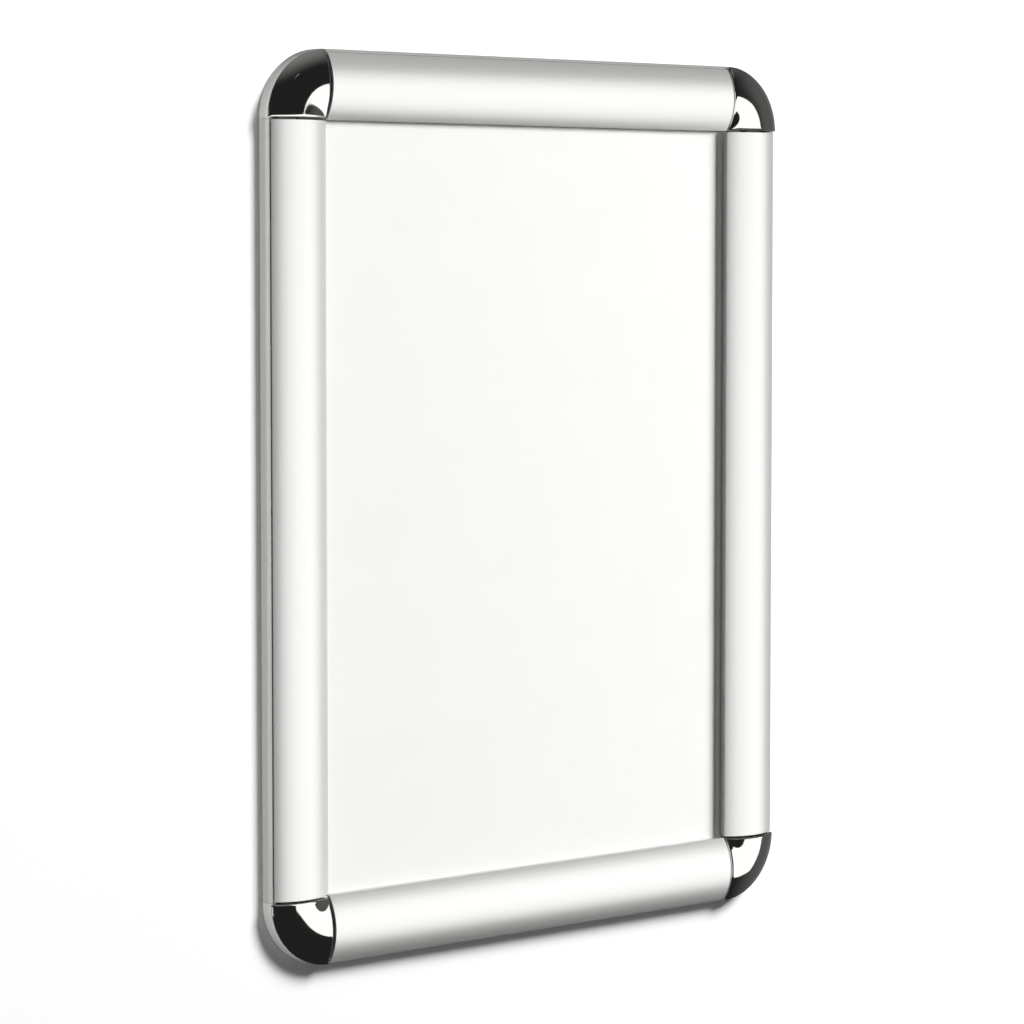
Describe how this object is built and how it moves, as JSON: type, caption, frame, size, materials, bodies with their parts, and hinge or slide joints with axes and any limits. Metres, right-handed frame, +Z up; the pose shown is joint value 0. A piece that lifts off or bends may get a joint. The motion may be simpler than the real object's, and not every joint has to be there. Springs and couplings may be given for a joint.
{
  "type": "snap frame",
  "caption": "Upright wall-mounted snap frame with arched hinged lids, rounded chrome corner caps, a back panel, a paper insert and a clear cover.",
  "frame": {"origin": "centre of the frame's back, on the wall plane", "axes": "+X to the right as seen from the front, +Z up, +Y into the wall; the front faces -Y"},
  "size_m": [0.24, 0.0094, 0.327],
  "materials": {
    "lid_aluminium": "satin silver anodised, drawn along the rail",
    "base_aluminium": "satin silver anodised, a little duller than the lids",
    "connector_plastic": "silver-grey moulded plastic, satin",
    "cap_chrome": "mirror chrome plating on moulded plastic",
    "zinc_screw": "zinc-plated steel",
    "spring_steel": "tempered spring steel, dull",
    "back_panel_plastic": "white extruded sheet, matt",
    "insert_paper": "plain white paper",
    "cover_plastic": "clear sheet, glossy with a slight anti-glare haze"
  },
  "bodies": {
    "frame": {"left_base_rail": "base_aluminium", "left_leaf_spring_1": "spring_steel", "left_rail_screw_1": "zinc_screw", "left_leaf_spring_2": "spring_steel", "left_rail_screw_2": "zinc_screw", "right_base_rail": "base_aluminium", "right_leaf_spring_1": "spring_steel", "right_rail_screw_1": "zinc_screw", "right_leaf_spring_2": "spring_steel", "right_rail_screw_2": "zinc_screw", "top_base_rail": "base_aluminium", "top_leaf_spring_1": "spring_steel", "top_rail_screw_1": "zinc_screw", "top_leaf_spring_2": "spring_steel", "top_rail_screw_2": "zinc_screw", "bottom_base_rail": "base_aluminium", "bottom_leaf_spring_1": "spring_steel", "bottom_rail_screw_1": "zinc_screw", "bottom_leaf_spring_2": "spring_steel", "bottom_rail_screw_2": "zinc_screw", "top_right_connector": "connector_plastic", "top_right_corner_cap": "cap_chrome", "top_right_cap_screw": "zinc_screw", "top_left_connector": "connector_plastic", "top_left_corner_cap": "cap_chrome", "top_left_cap_screw": "zinc_screw", "bottom_left_connector": "connector_plastic", "bottom_left_corner_cap": "cap_chrome", "bottom_left_cap_screw": "zinc_screw", "bottom_right_connector": "connector_plastic", "bottom_right_corner_cap": "cap_chrome", "bottom_right_cap_screw": "zinc_screw", "back_panel": "back_panel_plastic", "paper_insert": "insert_paper", "clear_cover": "cover_plastic"},
    "left_lid": {"left_snap_lid": "lid_aluminium"},
    "right_lid": {"right_snap_lid": "lid_aluminium"},
    "top_lid": {"top_snap_lid": "lid_aluminium"},
    "bottom_lid": {"bottom_snap_lid": "lid_aluminium"}
  },
  "joints": [
    {"name": "left_lid_hinge", "type": "hinge", "parent": "frame", "child": "left_lid", "pos_m": [-0.11805, -0.0032, 0], "axis": [0, 0, -1], "range_deg": [0, 90], "deforming": ["left_leaf_spring_1", "left_leaf_spring_2"]},
    {"name": "right_lid_hinge", "type": "hinge", "parent": "frame", "child": "right_lid", "pos_m": [0.11805, -0.0032, 0], "axis": [0, 0, 1], "range_deg": [0, 90], "deforming": ["right_leaf_spring_1", "right_leaf_spring_2"]},
    {"name": "top_lid_hinge", "type": "hinge", "parent": "frame", "child": "top_lid", "pos_m": [0, -0.0032, 0.16155], "axis": [-1, 0, 0], "range_deg": [0, 90], "deforming": ["top_leaf_spring_1", "top_leaf_spring_2"]},
    {"name": "bottom_lid_hinge", "type": "hinge", "parent": "frame", "child": "bottom_lid", "pos_m": [0, -0.0032, -0.16155], "axis": [1, 0, 0], "range_deg": [0, 90], "deforming": ["bottom_leaf_spring_1", "bottom_leaf_spring_2"]}
  ]
}
